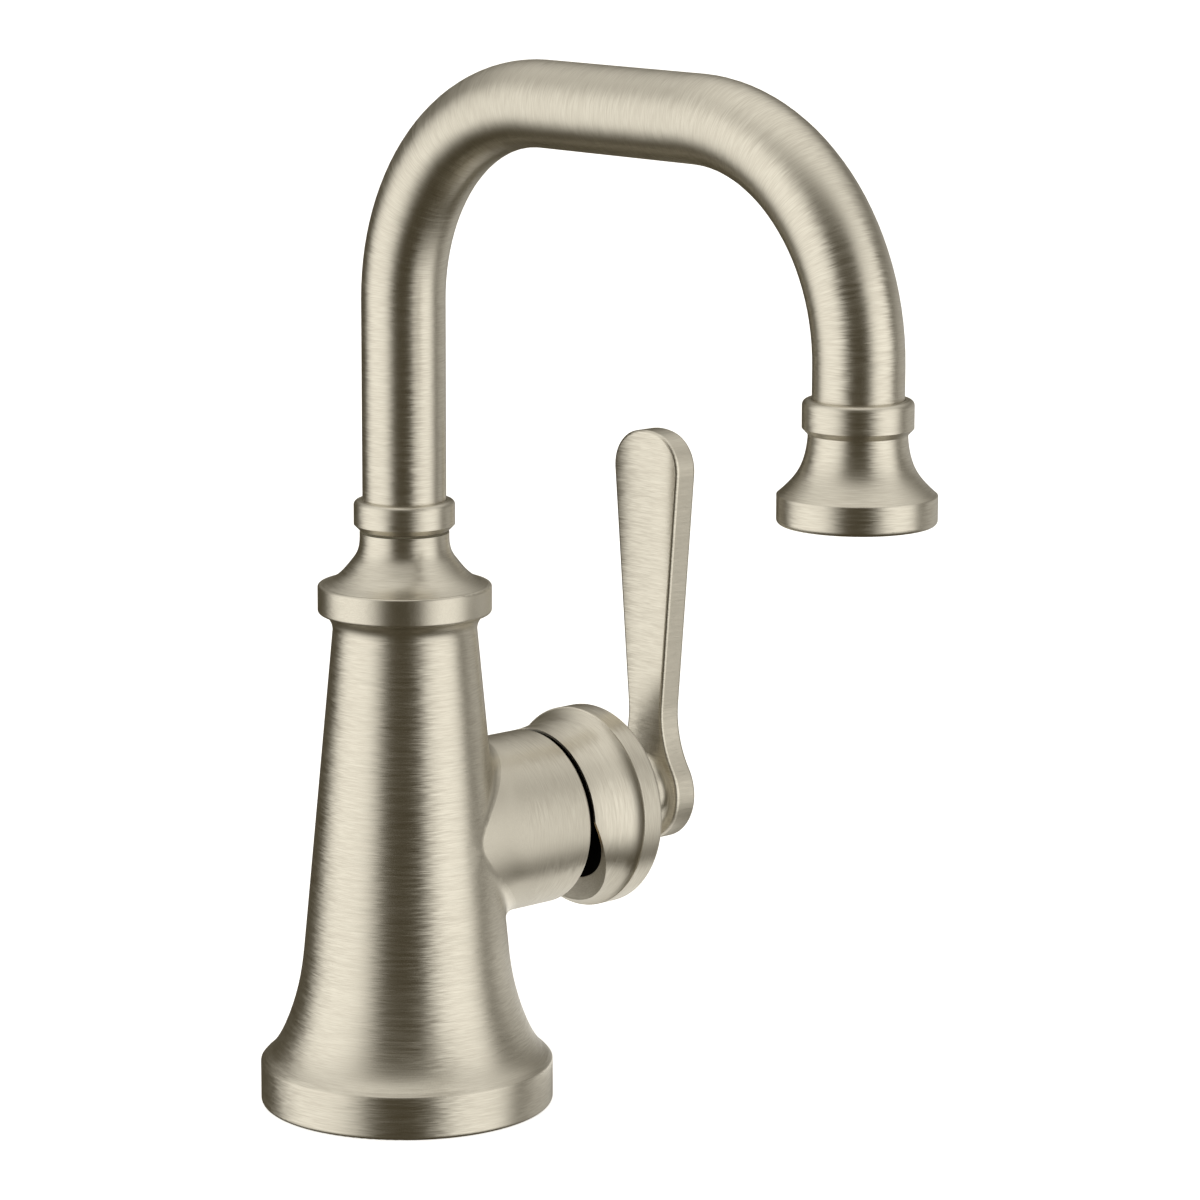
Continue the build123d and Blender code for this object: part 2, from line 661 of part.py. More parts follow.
def cartridge_base():
    """Plastic foot of the cartridge: three ports with seal grooves, and two pegs."""
    form = disc(CARTRIDGE_RADIUS, CARTRIDGE_SEAT, DISC_FACE)
    for x, y in port_spots():
        form -= disc(PORT_RADIUS, CARTRIDGE_SEAT, DISC_FACE, x, y)
        groove = disc(PORT_RADIUS + SEAL_WIDTH + FIT, CARTRIDGE_SEAT, CARTRIDGE_SEAT + SEAL_THICKNESS)
        form -= Pos(x, y, 0) * groove
    for x, y in peg_spots():
        form += disc(PEG_RADIUS, CARTRIDGE_SEAT - PEG_LENGTH, CARTRIDGE_SEAT, x, y)
    return VALVE * form


def port_seals():
    """Rubber seals between the cartridge's ports and the seat."""
    seal = ring(PORT_RADIUS + SEAL_WIDTH, PORT_RADIUS, CARTRIDGE_SEAT, CARTRIDGE_SEAT + SEAL_THICKNESS)
    return [VALVE * Pos(x, y, 0) * seal for x, y in port_spots()]


def fixed_disc():
    """Fixed ceramic disc with the three ports."""
    form = disc(CARTRIDGE_BORE - FIT, DISC_FACE, MOVING_FACE)
    for x, y in port_spots():
        form -= disc(DISC_PORT_RADIUS, DISC_FACE, MOVING_FACE, x, y)
    return VALVE * form


def moving_disc():
    """Sliding ceramic disc with the mixing pocket that bridges the ports."""
    form = disc(MOVING_DISC_RADIUS, MOVING_FACE, CARRIER_FACE, 0, -DISC_OFFSET)
    width, height, depth = DISC_POCKET
    pocket = block(width, height, MOVING_FACE, MOVING_FACE + depth, 0, DISC_POCKET_RISE)
    return VALVE * (form - pocket)


def disc_carrier():
    """Plastic carrier that takes the stem's tip and slides the disc."""
    form = disc(MOVING_DISC_RADIUS - CARRIER_STEP, CARRIER_FACE, CARRIER_END, 0, -DISC_OFFSET)
    tip = STEM_TIP_RADIUS + SLIDE
    pocket = block(STEM_TIP_WIDTH + 2 * SLIDE, 2 * tip, STEM_TIP_X - tip, CARRIER_END)
    return VALVE * (form - pocket)


def cartridge_housing():
    """Plastic barrel of the cartridge with a front lip."""
    form = ring(CARTRIDGE_RADIUS, CARTRIDGE_BORE, DISC_FACE, LIP_FACE)
    return VALVE * (form + ring(CARTRIDGE_RADIUS, GUIDE_NECK_RADIUS + FIT, LIP_FACE, HOUSING_FRONT))


def stem_guide():
    """Turning guide that carries the stem's pivot pin."""
    form = disc(CARTRIDGE_BORE - FIT, GUIDE_FACE, LIP_FACE - FIT)
    form += disc(GUIDE_NECK_RADIUS, LIP_FACE - FIT, GUIDE_NECK_END)
    form -= block(STEM_SIDE + 2 * SLIDE, 2 * SLOT_HALF, GUIDE_FACE, GUIDE_NECK_END)
    form -= pin_bar(PIN_RADIUS + FIT, CARTRIDGE_BORE)
    return VALVE * form


def pin_bar(radius, reach):
    """Bar across the valve axis at the stem's pivot."""
    bar = Cylinder(radius, 2 * reach)
    return Pos(0, 0, PIVOT_X) * Rot(0, 90, 0) * bar


def pivot_pin():
    """Steel pin on which the stem tilts."""
    return VALVE * pin_bar(PIN_RADIUS, CARTRIDGE_BORE - PIN_END_GAP)


def limit_ring():
    """Ring that limits how far the handle turns towards hot."""
    outer = NUT_BORE - 2 * FIT
    return VALVE * ring(outer, GUIDE_NECK_RADIUS + FIT, HOUSING_FRONT + CLIP_GAP, GUIDE_NECK_END)


def retaining_nut():
    """Brass nut that clamps the cartridge in the stub, with four spanner notches."""
    form = ring(NUT_RADIUS, NUT_BORE, HOUSING_FRONT, NUT_END)
    form = chamfer(form.edges().group_by(Axis.Z)[-1], NUT_CHAMFER)
    length, width, depth = NUT_NOTCH
    notch = block(length, width, NUT_END - depth, NUT_END, x=NUT_RADIUS - length / 2)
    for turn in range(NUT_NOTCHES):
        form -= Rot(0, 0, 360 * (turn + 0.5) / NUT_NOTCHES) * notch
    return VALVE * form


def stem():
    """Square steel stem with a rounded tip that drives the disc carrier."""
    bar_start = STEM_TIP_X + STEM_NECK_LENGTH
    form = block(STEM_SIDE, STEM_SIDE, bar_start, STEM_END)
    form = chamfer(form.edges().filter_by(Axis.Z), STEM_CHAMFER)
    tip = Cylinder(STEM_TIP_RADIUS, STEM_TIP_WIDTH)
    form += Pos(0, 0, STEM_TIP_X) * Rot(0, 90, 0) * tip
    form += block(STEM_TIP_WIDTH, STEM_NECK_THICKNESS, STEM_TIP_X, bar_start)
    form -= pin_bar(PIN_RADIUS + FIT, STEM_SIDE)
    return VALVE * form


def cap_cut():
    """Wedge that is cut from the cap's lower rim so that it clears the stub when it tilts."""
    reach = 2 * CAP_BAND_RADIUS
    slope = math.tan(math.radians(CUT_ANGLE))
    wedge = Polyline(
        (CAP_RIM_X - CUT_OVERRUN, 0, VALVE_HEIGHT + CUT_START + CUT_OVERRUN / slope),
        (CAP_RIM_X + reach * slope, 0, VALVE_HEIGHT + CUT_START - reach),
        (CAP_RIM_X - CUT_OVERRUN, 0, VALVE_HEIGHT + CUT_START - reach),
        close=True,
    )
    face = make_face(wedge.edges())
    return extrude(face, reach, both=True)


def handle_cap():
    """Flared cap that covers the end of the valve, with a band at its back."""
    rim = at(CAP_RIM_RADIUS, CAP_RIM_X)
    middle = at(CAP_FLARE_RADIUS, CAP_FLARE_X)
    end = at(CAP_FLARE_END, CAP_BAND_X)
    flare = Spline(rim, middle, end, tangents=[(CAP_RIM_SLOPE, 0, 1), (CAP_FLARE_SLOPE, 0, 1)])
    back = Polyline(
        end,
        at(CAP_BAND_RADIUS, CAP_BAND_X),
        at(CAP_BAND_RADIUS, CAP_BACK_X),
        at(SPIGOT_RADIUS, HUB_START),
        at(0, HUB_START),
        at(0, CAP_RIM_X),
        rim,
    )
    form = turned(flare, back)
    form = soften(form, CAP_BAND_RADIUS, CAP_BAND_X, CAP_BAND_EDGE)
    form = soften(form, CAP_BAND_RADIUS, CAP_BACK_X, CAP_EDGE)
    mouth = CAP_RIM_RADIUS - CAP_RIM_WALL
    floor = CAP_RIM_X + CAP_CAVITY_DEPTH
    form -= soften(disc(mouth, CAP_RIM_X, floor), mouth, floor, CAP_CAVITY_CORNER)
    form -= disc(SPIGOT_RADIUS + FIT, CAP_RIM_X, HUB_START)
    return VALVE * form - cap_cut()


def blade_outline():
    """Lever plate seen along the valve: a round foot and a blade that widens to a crowned end."""
    top = LEVER_TOP - VALVE_HEIGHT
    crown_drop = BLADE_CROWN - math.sqrt(BLADE_CROWN**2 - BLADE_HALF_WIDTH**2)
    corner = top - crown_drop
    low_half = BLADE_HALF_WIDTH - corner * math.tan(math.radians(BLADE_TAPER))
    sides = Polyline(
        (-BLADE_HALF_WIDTH, corner),
        (-low_half, 0),
        (low_half, 0),
        (BLADE_HALF_WIDTH, corner),
    )
    crown = ThreePointArc((-BLADE_HALF_WIDTH, corner), (0, top), (BLADE_HALF_WIDTH, corner))
    blade = make_face(sides.edges() + crown.edges())
    tips = blade.vertices().sort_by(Axis.Y)[-2:]
    blade = fillet(tips, BLADE_CORNER)
    form = blade + Circle(LEVER_FOOT_RADIUS)
    roots = [
        vertex
        for vertex in form.vertices()
        if abs(math.hypot(vertex.X, vertex.Y) - LEVER_FOOT_RADIUS) < MATCH and vertex.Y > HUB_FILLET
    ]
    return fillet(roots, LEVER_SWEEP)


def lever():
    """Lever in one piece: plate, hub, and the spigot that fits the cap and takes the stem."""
    plate = extrude(Pos(0, 0, PLATE_FACE_X) * blade_outline(), PLATE_THICKNESS)
    plate = fillet(plate.edges().filter_by(Plane.XY), PLATE_EDGE)
    flare_end = HUB_START + HUB_FLARE
    foot = at(HUB_RADIUS + HUB_FLARE, HUB_START)
    slant = math.cos(math.radians(45))
    middle = at(foot.X - HUB_FLARE * slant, flare_end - HUB_FLARE * slant)
    flare = ThreePointArc(foot, middle, at(HUB_RADIUS, flare_end))
    fillet_start = at(HUB_RADIUS, PLATE_FACE_X - HUB_FILLET)
    fillet_end = at(HUB_RADIUS + HUB_FILLET, PLATE_FACE_X)
    fillet_middle = at(
        fillet_end.X - HUB_FILLET * slant,
        fillet_start.Z + HUB_FILLET * slant,
    )
    waist = Line(at(HUB_RADIUS, flare_end), fillet_start)
    sweep_up = ThreePointArc(fillet_start, fillet_middle, fillet_end)
    root = PLATE_FACE_X + PLATE_THICKNESS / 2
    inside = Polyline(
        fillet_end,
        at(fillet_end.X, root),
        at(0, root),
        at(0, SPIGOT_START),
        at(SPIGOT_RADIUS, SPIGOT_START),
        at(SPIGOT_RADIUS, HUB_START),
        foot,
    )
    form = plate + turned(flare, waist, sweep_up, inside)
    socket = STEM_SIDE + 2 * FIT
    form -= block(socket, socket, SPIGOT_START, STEM_END + STEM_SOCKET_END_GAP)
    form -= screw_bar(SET_SCREW_RADIUS + THREAD_FIT, 2 * HUB_RADIUS)
    return VALVE * form


def screw_bar(radius, reach):
    """Bar from the stem's underside out through the hub."""
    bar = Cylinder(radius, reach - STEM_SIDE / 2, align=(Align.CENTER, Align.CENTER, Align.MIN))
    return Pos(0, -STEM_SIDE / 2, SET_SCREW_X) * Rot(90, 0, 0) * bar


def set_screw():
    """Grub screw under the hub that clamps the lever on the stem."""
    reach = HUB_RADIUS - SET_SCREW_SUNK
    form = screw_bar(SET_SCREW_RADIUS, reach)
    key = extrude(RegularPolygon(SET_SCREW_KEY, 6), SET_SCREW_KEY_DEPTH)
    form -= Pos(0, -reach, SET_SCREW_X) * Rot(-90, 0, 0) * key
    return VALVE * form


def inlet_nut(side):
    """Threaded brass insert in the foot of one inlet leg."""
    outer = INLET_THREAD_RADIUS + INLET_WALL
    form = ring(outer, INLET_THREAD_RADIUS, LEG_BOTTOM, INLET_TOP)
    return Pos(0, side * LEG_SPREAD, 0) * form


def deck_gasket():
    """Rubber gasket in the foot."""
    return ring(BASE_RADIUS, GASKET_BORE, 0, GASKET_THICKNESS)


def base_plate():
    """Metal plate in the foot, with the stud threads and the holes for the inlet legs."""
    form = disc(BASE_RADIUS, GASKET_THICKNESS, BASE_TOP)
    for side in (-1, 1):
        x = side * STUD_SPACING / 2
        form += disc(STUD_BOSS_RADIUS, BASE_TOP, BASE_TOP + STUD_BOSS_HEIGHT, x, 0)
    for side in (-1, 1):
        x = side * STUD_SPACING / 2
        form -= disc(STUD_THREAD_RADIUS, GASKET_THICKNESS, BASE_TOP + STUD_BOSS_HEIGHT, x, 0)
        form -= disc(LEG_RADIUS + FIT, GASKET_THICKNESS, BASE_TOP, 0, side * LEG_SPREAD)
    for x, y in base_screw_spots():
        form -= Pos(x, y, 0) * screw_form(THREAD_FIT, BASE_SCREW_LENGTH)
    return form


def screw_form(gap, length):
    """Countersunk screw under the base plate, grown by a gap."""
    radius = BASE_SCREW_RADIUS + gap
    head = BASE_SCREW_HEAD + gap
    drop = BASE_SCREW_HEAD - BASE_SCREW_RADIUS
    low = GASKET_THICKNESS
    outline = Polyline(
        at(0, low),
        at(head, low),
        at(radius, low + drop),
        at(radius, low + length),
        at(0, low + length),
        at(0, low),
    )
    return turned(outline)


def base_screws():
    """Screws that hold the base plate to the body."""
    radius, depth = BASE_SCREW_DRIVE
    drive = disc(radius, GASKET_THICKNESS, GASKET_THICKNESS + depth)
    screw = screw_form(0.0, BASE_SCREW_LENGTH) - drive
    return [Pos(x, y, 0) * screw for x, y in base_screw_spots()]


NODES = {
    "body_shell": body_shell,
    "neck_collar": neck_collar,
    "glide_ring": glide_ring,
    "deck_gasket": deck_gasket,
    "base_plate": base_plate,
    "base_screws": base_screws,
    "waterway": waterway,
    "hot_inlet_nut": lambda: inlet_nut(-1),
    "cold_inlet_nut": lambda: inlet_nut(1),
    "cartridge_base": cartridge_base,
    "cartridge_housing": cartridge_housing,
    "port_seals": port_seals,
    "fixed_disc": fixed_disc,
    "retaining_nut": retaining_nut,
    "stem_guide": stem_guide,
    "pivot_pin": pivot_pin,
    "limit_ring": limit_ring,
    "moving_disc": moving_disc,
    "disc_carrier": disc_carrier,
    "stem": stem,
    "handle_cap": handle_cap,
    "lever": lever,
    "set_screw": set_screw,
    "spout_tube": spout_tube,
    "spout_ring": spout_ring,
    "spout_nipple": spout_nipple,
    "spout_o_rings": spout_o_rings,
    "spout_clip": spout_clip,
    "outlet_bell": outlet_bell,
    "aerator_housing": aerator_housing,
    "aerator_core": aerator_core,
    "aerator_screen": aerator_screen,
    "aerator_washer": aerator_washer,
}

os.makedirs("parts", exist_ok=True)
for name, make in NODES.items():
    made = make()
    solids = made if isinstance(made, list) else [made]
    whole = Compound(children=[Compound(part.solids()) for part in solids])
    export_step(whole, os.path.join("parts", name + ".step"))
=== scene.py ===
import math

import bpy
from mathutils import Matrix, Vector

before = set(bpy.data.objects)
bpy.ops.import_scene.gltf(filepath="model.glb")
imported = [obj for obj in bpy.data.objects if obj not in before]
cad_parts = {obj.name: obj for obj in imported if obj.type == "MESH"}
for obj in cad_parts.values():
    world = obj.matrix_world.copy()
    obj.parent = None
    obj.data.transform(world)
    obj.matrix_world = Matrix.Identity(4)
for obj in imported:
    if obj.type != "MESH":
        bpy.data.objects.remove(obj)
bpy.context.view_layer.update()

# The view. A long lens looks down a little on the faucet from its left front, as a catalogue
# photograph does, and the faucet fills the height of the frame. The lens is in millimetres, angles
# are in degrees and the rest is in metres.
FOCAL_LENGTH = 143.78
SENSOR = 36.0
VIEW_AZIMUTH = -43.184
VIEW_HEIGHT = 10.992
VIEW_ROLL = 0.17
VIEW_DISTANCE = 1.090994
VIEW_ASIDE = 0.04443
VIEW_RISE = 0.117891


def compass(azimuth, height=0.0):
    """Direction at an azimuth from the front, towards +X, and a height, both in degrees."""
    turn, rise = math.radians(azimuth), math.radians(height)
    return Vector((
        math.sin(turn) * math.cos(rise),
        -math.cos(turn) * math.cos(rise),
        math.sin(rise),
    ))


def set_camera():
    """The camera, at its distance along the view, moved aside and up and rolled a little."""
    back = compass(VIEW_AZIMUTH, VIEW_HEIGHT)
    level = compass(VIEW_AZIMUTH + 90)
    upright = back.cross(level)
    roll = math.radians(VIEW_ROLL)
    right = level * math.cos(roll) + upright * math.sin(roll)
    up = upright * math.cos(roll) - level * math.sin(roll)
    place = level * VIEW_ASIDE + Vector((0, 0, VIEW_RISE)) + back * VIEW_DISTANCE
    data = bpy.data.cameras.new("camera")
    data.lens = FOCAL_LENGTH
    data.sensor_width = SENSOR
    camera = bpy.data.objects.new("camera", data)
    turn = Matrix((right, up, back)).transposed().to_4x4()
    camera.matrix_world = Matrix.Translation(place) @ turn
    bpy.context.scene.collection.objects.link(camera)
    bpy.context.scene.camera = camera


set_camera()
bpy.context.scene.view_settings.view_transform = "Standard"

# The studio. The faucet stands on a white table that carries its own light, so that it stays
# white right round the foot. Broad soft boxes stand to the left, to the right and behind on the
# right, a diffuser hangs overhead, and the rest of the room is dim and a little warm.
TABLE_REACH = 6.0
TABLE_COLOUR = "#F1F0EE"
TABLE_GLOW = 0.8
TABLE_ROUGHNESS = 0.9
ROOM_COLOUR = "#FFECBE"
ROOM_GLOW = 0.074
ROOM_BACKDROP = "#FBFBFA"
SOFT_BOX_COLOUR = "#FFFEFA"
# For each soft box: the turn of its middle from the camera, its half width, the width of its soft
# edge, its brightness, and the heights between which it fades out at the top, in degrees.
SOFT_BOXES = (
    (-74.0, 14.0, 39.0, 1.25, 14.0, 60.0),
    (60.0, 7.0, 35.0, 1.3, 14.0, 60.0),
    (136.0, 8.0, 34.0, 0.48, -6.0, 30.0),
)
# The heights between which all of them come up from below.
BOX_FOOT = (-54.0, -20.0)
# The overhead diffuser comes up between two heights. It stops above the faucet, so that the room
# in front stays dark, and its front edge is given by the cosines of two angles from the camera.
OVERHEAD_RISE = (12.0, 80.0)
OVERHEAD_GLOW = 0.98
OVERHEAD_EDGE = (0.82, 0.2)
# A small card on the table at the right lights the undersides of the stub and the cap.
CARD_PLACE = (0.085, 0.015, 0.002)
CARD_SIZE = (0.08, 0.11)
CARD_POWER = 0.023


def linear(colour):
    """sRGB hex value as linear red, green, blue and alpha, by the curve of the sRGB standard."""
    channels = [int(colour[i : i + 2], 16) / 255 for i in (1, 3, 5)]
    return (*[c / 12.92 if c <= 0.04045 else ((c + 0.055) / 1.055) ** 2.4 for c in channels], 1.0)


def add_node(tree, kind, settings=None, inputs=None, links=None):
    """One shader node, with its settings, its socket values and the sockets that feed it."""
    node = tree.nodes.new(kind)
    for name, value in (settings or {}).items():
        setattr(node, name, value)
    for name, value in (inputs or {}).items():
        node.inputs[name].default_value = value
    for name, source in (links or {}).items():
        tree.links.new(source, node.inputs[name])
    return node


def lay_table():
    """White table that runs out of the view on every side."""
    mesh = bpy.data.meshes.new("table")
    sides = ((-1, -1), (1, -1), (1, 1), (-1, 1))
    corners = [(x * TABLE_REACH, y * TABLE_REACH, 0) for x, y in sides]
    mesh.from_pydata(corners, [], [range(len(corners))])
    table = bpy.data.objects.new("table", mesh)
    bpy.context.scene.collection.objects.link(table)
    paint = bpy.data.materials.new("white lit acrylic")
    paint.use_nodes = True
    shader = paint.node_tree.nodes["Principled BSDF"]
    shader.inputs["Base Color"].default_value = linear(TABLE_COLOUR)
    shader.inputs["Roughness"].default_value = TABLE_ROUGHNESS
    shader.inputs["Emission Color"].default_value = linear(TABLE_COLOUR)
    shader.inputs["Emission Strength"].default_value = TABLE_GLOW
    mesh.materials.append(paint)
    table.visible_glossy = False


def soft_edge(tree, value, low, high):
    """Share that rises softly from 0 at one value to 1 at another."""
    settings = {"interpolation_type": "SMOOTHSTEP"}
    limits = {"From Min": low, "From Max": high}
    return add_node(tree, "ShaderNodeMapRange", settings, limits, {"Value": value}).outputs[0]


def both(tree, first, second):
    """Share that is 1 only where both shares are 1."""
    return add_node(
        tree, "ShaderNodeMath", {"operation": "MULTIPLY"}, links={0: first, 1: second}
    ).outputs[0]


def climbs(*angles):
    """How much of a direction points up at each of these heights in degrees."""
    return [math.sin(math.radians(angle)) for angle in angles]


def light_room():
    """Soft boxes round the faucet, by their direction from it."""
    world = bpy.data.worlds.new("studio")
    world.use_nodes = True
    tree = world.node_tree
    way = add_node(tree, "ShaderNodeTexCoord").outputs["Generated"]
    height = add_node(tree, "ShaderNodeSeparateXYZ", links={0: way}).outputs["Z"]
    level = add_node(
        tree, "ShaderNodeVectorMath", {"operation": "MULTIPLY"}, {1: (1, 1, 0)}, {0: way}
    ).outputs[0]
    level = add_node(
        tree, "ShaderNodeVectorMath", {"operation": "NORMALIZE"}, links={0: level}
    ).outputs[0]
    boxes = None
    for turn, half, soft, brightness, full, top in SOFT_BOXES:
        middle = compass(VIEW_AZIMUTH + turn)
        facing = add_node(
            tree, "ShaderNodeVectorMath", {"operation": "DOT_PRODUCT"}, {1: middle}, {0: level}
        ).outputs["Value"]
        edges = math.cos(math.radians(half + soft)), math.cos(math.radians(half))
        width = soft_edge(tree, facing, *edges)
        links = {0: both(tree, width, soft_edge(tree, height, *climbs(top, full)))}
        if boxes:
            links[2] = boxes
        boxes = add_node(
            tree, "ShaderNodeMath", {"operation": "MULTIPLY_ADD"}, {1: brightness, 2: 0.0}, links
        ).outputs[0]
    boxes = add_node(
        tree, "ShaderNodeMath", {"operation": "MULTIPLY"},
        links={0: boxes, 1: soft_edge(tree, height, *climbs(*BOX_FOOT))},
    ).outputs[0]
    front = add_node(
        tree, "ShaderNodeVectorMath", {"operation": "DOT_PRODUCT"}, {1: compass(VIEW_AZIMUTH)},
        {0: way},
    ).outputs["Value"]
    overhead = both(
        tree, soft_edge(tree, height, *climbs(*OVERHEAD_RISE)),
        soft_edge(tree, front, *OVERHEAD_EDGE),
    )
    glow = add_node(
        tree, "ShaderNodeMath", {"operation": "MULTIPLY_ADD"}, {1: OVERHEAD_GLOW},
        {0: overhead, 2: boxes},
    ).outputs[0]
    lamps = add_node(
        tree, "ShaderNodeBackground", inputs={"Color": linear(SOFT_BOX_COLOUR)},
        links={"Strength": glow},
    )
    room = add_node(
        tree, "ShaderNodeBackground", inputs={"Color": linear(ROOM_COLOUR), "Strength": ROOM_GLOW}
    )
    lit = add_node(tree, "ShaderNodeAddShader", links={0: lamps.outputs[0], 1: room.outputs[0]})
    backdrop = add_node(tree, "ShaderNodeBackground", inputs={"Color": linear(ROOM_BACKDROP)})
    seen = add_node(tree, "ShaderNodeLightPath").outputs["Is Camera Ray"]
    mixed = add_node(
        tree, "ShaderNodeMixShader", links={0: seen, 1: lit.outputs[0], 2: backdrop.outputs[0]}
    )
    tree.links.new(mixed.outputs[0], tree.nodes["World Output"].inputs["Surface"])
    bpy.context.scene.world = world


def lay_card():
    """Lit card that faces up. The camera doesn't see it."""
    data = bpy.data.lights.new("card", "AREA")
    data.shape = "RECTANGLE"
    data.size, data.size_y = CARD_SIZE
    data.energy = CARD_POWER
    data.color = linear(SOFT_BOX_COLOUR)[:3]
    card = bpy.data.objects.new("card", data)
    card.location = CARD_PLACE
    card.rotation_euler = (math.pi, 0, 0)
    card.visible_camera = False
    bpy.context.scene.collection.objects.link(card)


lay_table()
light_room()
lay_card()

# Bell body: a brass casting with the valve stub brazed to its side, turned, brushed round
# with an abrasive belt, then nickel plated and lacquered. The belt's lines run round the bell
# and round the stub, and stretch every reflection along the piece.
NICKEL_LIGHT = "#DAD5C8"
NICKEL_DARK = "#CBC5B8"
NICKEL_CONTRAST = (0.3, 0.7)
NICKEL_ROUGHNESS = 0.35
NICKEL_ROUGHNESS_SPREAD = 0.06
NICKEL_ANISOTROPY = 0.5
# Brushed metal spreads its reflections across its lines, a quarter turn from their direction.
QUARTER_TURN = 0.25
# The lines of a 180 grit belt are under 0.1 mm wide and too fine to show, so they are drawn half
# as wide again. The surface leans a little to either side along each of them.
LINE_WIDTH = 0.00015
LINE_LENGTH = 0.0035
LINE_DEPTH = 0.000004
LINE_DETAIL = 1.0
LINE_TILT = 0.2
# The broader strokes, some three lines wide, are where the belt pressed harder.
STROKE_SCALE = 0.34
STROKE_DETAIL = 2.0
STROKE_RANGE = (0.3, 0.7)
STROKE_TILT = 0.03
UPRIGHT = Vector((0, 0, 1))
VALVE_AXIS = Vector((1, 0, 0))
VALVE_CENTRE = Vector((0, 0, 0.061))
# The bell's cone, as its radius if it ran down to the deck and its loss of radius with height.
# The lines turn from the bell's to the stub's where the surface stands off that cone, and not
# under the stub.
BELL_RADIUS_AT_DECK = 0.027065
BELL_TAPER = 0.095
STUB_BLEND = (0.0, 0.008)
STUB_LOW = (0.0375, 0.0395)
# Inside the stub and the cap the colour is painted shade: near black and dull, standing for the
# dark of the deep hollows. Its edge against the plating is as sharp as a hair.
BORE_PAINTED_SHADE = "#12100D"
BORE_ROUGHNESS = 0.85
STUB_BORE_RADIUS = 0.0203
STUB_BORE_START = 0.02
HAIR = 0.00002
# A Mix node has a first input, a second input and an output for each kind of value.
MIX_SOCKETS = {"FLOAT": (2, 3, 0), "VECTOR": (4, 5, 1), "RGBA": (6, 7, 2)}


def new_finish(name, metallic, ior=None):
    """A material with one Principled shader: the material, its tree and its shader."""
    finish = bpy.data.materials.new(name)
    finish.use_nodes = True
    shader = finish.node_tree.nodes["Principled BSDF"]
    shader.inputs["Metallic"].default_value = metallic
    if ior:
        shader.inputs["IOR"].default_value = ior
    return finish, finish.node_tree, shader


def dress(finish, *names):
    """Gives CAD pieces their finish."""
    for name in names:
        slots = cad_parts[name].data.materials
        slots.clear()
        slots.append(finish)


def round_lines(tree, axis, centre=(0, 0, 0)):
    """Lines round an axis: their direction, their grain, which is fine along the axis and long
    round it, and a count of them outwards, which tells on faces square to the axis."""
    texture = add_node(tree, "ShaderNodeTexCoord")
    arm = add_node(
        tree, "ShaderNodeVectorMath", {"operation": "SUBTRACT"}, {1: centre},
        {0: texture.outputs["Object"]},
    ).outputs[0]
    way = add_node(
        tree, "ShaderNodeVectorMath", {"operation": "CROSS_PRODUCT"}, {0: axis}, {1: arm}
    ).outputs[0]
    square = add_node(
        tree, "ShaderNodeVectorMath", {"operation": "DOT_PRODUCT"}, {0: axis},
        {1: texture.outputs["Normal"]},
    ).outputs["Value"]
    radius = add_node(
        tree, "ShaderNodeVectorMath", {"operation": "LENGTH"}, links={0: way}
    ).outputs["Value"]
    fineness = [1 / LINE_WIDTH if along else 1 / LINE_LENGTH for along in axis]
    grain = add_node(
        tree, "ShaderNodeVectorMath", {"operation": "MULTIPLY"}, {1: fineness}, {0: arm}
    ).outputs[0]
    rings = add_node(
        tree, "ShaderNodeMath", {"operation": "DIVIDE"}, {1: LINE_WIDTH}, {0: radius}
    ).outputs[0]
    count = add_node(
        tree, "ShaderNodeMath", {"operation": "MULTIPLY"}, links={0: rings, 1: square}
    ).outputs[0]
    return way, grain, count


def either(tree, share, first, second):
    """The first set of lines, giving way to the second as the share goes from 0 to 1."""
    mixed = []
    for before, after, kind in zip(first, second, ("VECTOR", "VECTOR", "FLOAT")):
        one, other, out = MIX_SOCKETS[kind]
        links = {0: share, one: before, other: after}
        mixed.append(add_node(tree, "ShaderNodeMix", {"data_type": kind}, links=links).outputs[out])
    return mixed


def above(tree, value, limit):
    """Share that is 1 where a value is over its limit, and 0 elsewhere."""
    return soft_edge(tree, value, limit, limit + HAIR)


def off_valve_axis(tree):
    """How far a point lies along the valve's axis, how far off it, and how high."""
    place = add_node(tree, "ShaderNodeTexCoord").outputs["Object"]
    along = add_node(tree, "ShaderNodeSeparateXYZ", links={0: place})
    arm = add_node(
        tree, "ShaderNodeVectorMath", {"operation": "SUBTRACT"}, {1: VALVE_CENTRE}, {0: place}
    ).outputs[0]
    arm = add_node(
        tree, "ShaderNodeVectorMath", {"operation": "MULTIPLY"}, {1: (0, 1, 1)}, {0: arm}
    ).outputs[0]
    off = add_node(tree, "ShaderNodeVectorMath", {"operation": "LENGTH"}, links={0: arm})
    return along.outputs["X"], off.outputs["Value"], along.outputs["Z"]


def stub_bore_shade(tree):
    """Where painted shade darkens the bore of the valve stub."""
    along, off, _ = off_valve_axis(tree)
    back = above(tree, along, STUB_BORE_START)
    within = add_node(
        tree, "ShaderNodeMath", {"operation": "LESS_THAN"}, {1: STUB_BORE_RADIUS}, {0: off}
    ).outputs[0]
    return both(tree, back, within)


